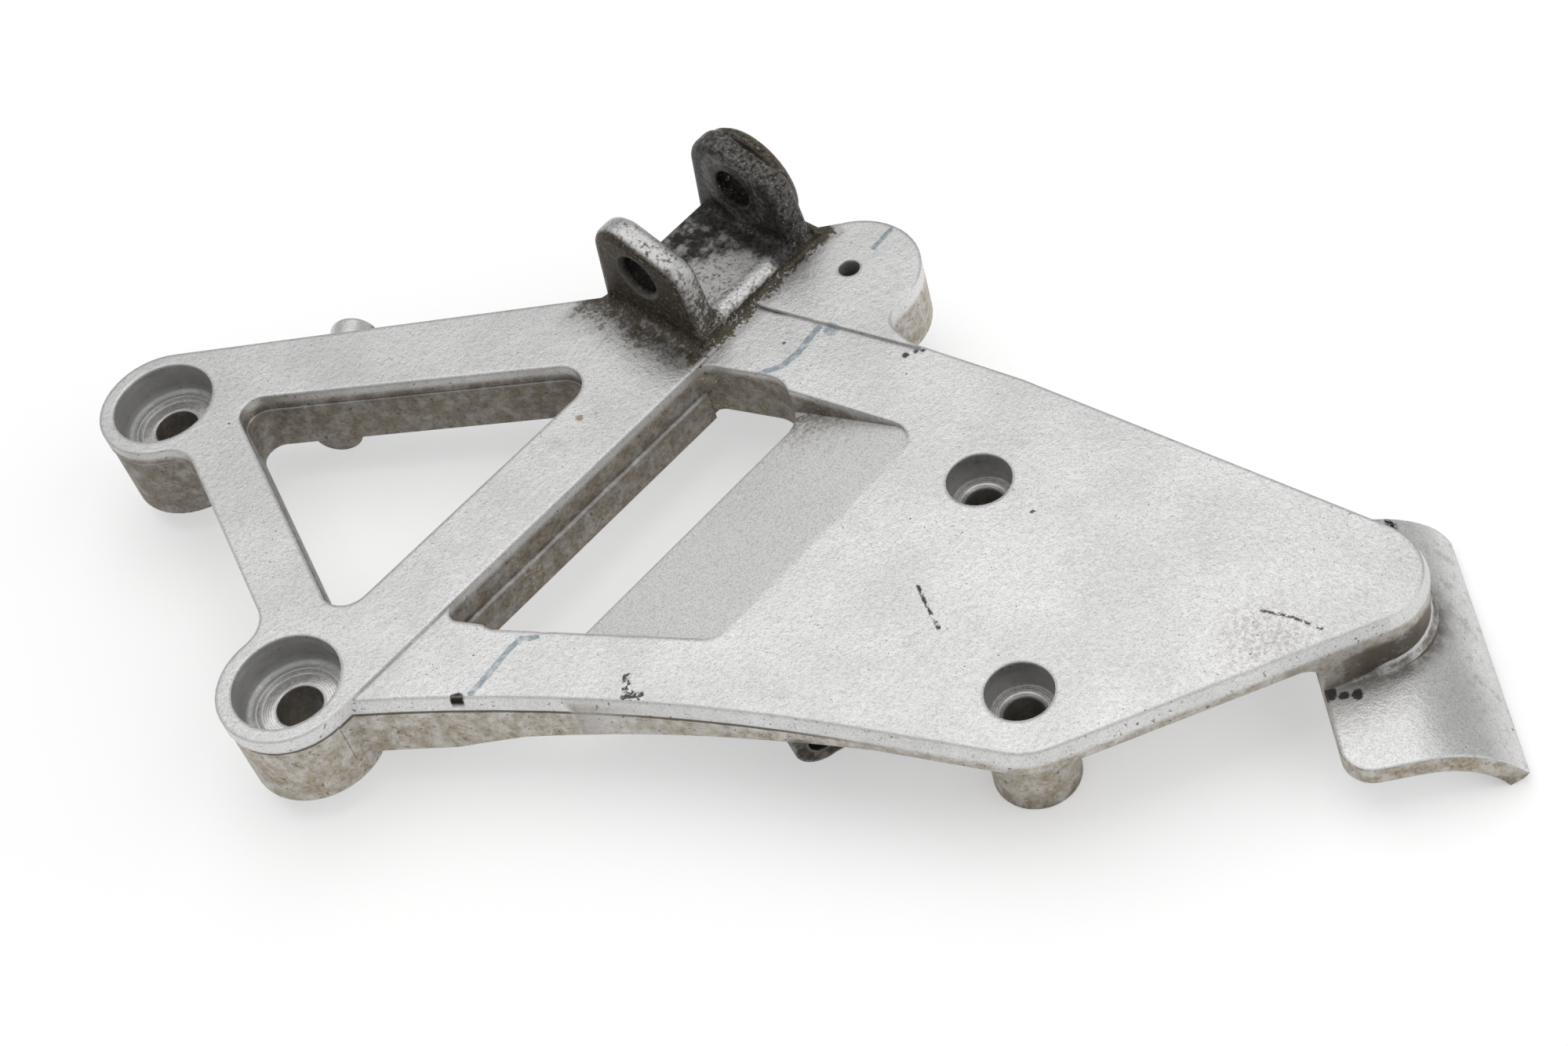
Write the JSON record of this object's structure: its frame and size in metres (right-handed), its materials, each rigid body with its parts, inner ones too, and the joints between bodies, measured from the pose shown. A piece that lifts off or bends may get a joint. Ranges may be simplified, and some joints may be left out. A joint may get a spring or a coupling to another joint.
{
  "type": "motorcycle footrest hanger",
  "caption": "Cast aluminium footrest hanger with counterbored frame bosses, an open triangle, a footrest clevis, a sloping slotted plate and a turned-down heel tab.",
  "frame": {"origin": "centre of the lower frame bolt's bore, on the face that seats against the frame", "axes": "+X along the footrest pin, toward the plate's side; +Z outward from the motorcycle, along the frame bolts; +Y completes the frame, toward the upper frame bolt"},
  "size_m": [0.1896, 0.3124, 0.0534],
  "materials": {
    "cast_aluminium": "blasted casting, worn, with brown grime on its walls and dark grease at the clevis"
  },
  "bodies": {
    "root": {"hanger": "cast_aluminium"}
  },
  "joints": []
}
